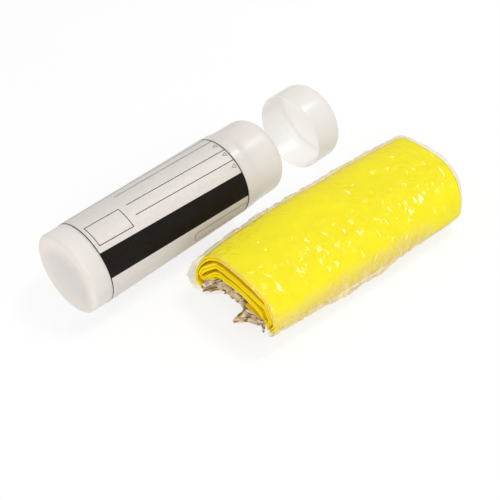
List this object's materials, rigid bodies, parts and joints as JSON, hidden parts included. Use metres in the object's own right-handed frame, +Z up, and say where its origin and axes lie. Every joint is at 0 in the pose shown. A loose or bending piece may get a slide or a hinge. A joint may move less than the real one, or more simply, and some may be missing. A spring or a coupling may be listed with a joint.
{
  "type": "rolled synthetic chamois cloth with storage tube",
  "caption": "Yellow synthetic chamois drying cloth, folded, rolled flat and wrapped in clear film, beside its frosted storage tube with a wrap-round label and a slip-on cap.",
  "frame": {"origin": "middle of the floor area that the set covers, on the surface it lies on", "axes": "+Z up, +X along the tube from its closed base to its mouth, the rolled cloth on the -Y side"},
  "size_m": [0.3108, 0.193, 0.0685],
  "materials": {
    "frosted_plastic": "frosted natural polyethylene, translucent",
    "label_paper": "white coated paper with a black band and thin rules",
    "yellow_cloth": "fine open-pored sponge cloth, damp",
    "clear_film": "thin clear crinkled film"
  },
  "bodies": {
    "tube": {"tube_body": "frosted_plastic", "label": "label_paper"},
    "cap": {"cap": "frosted_plastic"},
    "wrapper": {"film_wrapper": "clear_film"},
    "cloth": {"cloth_roll": "yellow_cloth", "film_tail": "clear_film"}
  },
  "joints": [
    {"name": "cap_slide", "type": "slide", "parent": "tube", "child": "cap", "axis": [-1, 0, 0], "range_m": [0, 0.0662]},
    {"name": "roll_lift", "type": "slide", "parent": "tube", "child": "wrapper", "axis": [0, 0, 1], "range_m": [0, 0.12]},
    {"name": "cloth_draw", "type": "slide", "parent": "wrapper", "child": "cloth", "axis": [-0.9962, 0.0872, 0], "range_m": [0, 0.235]}
  ]
}
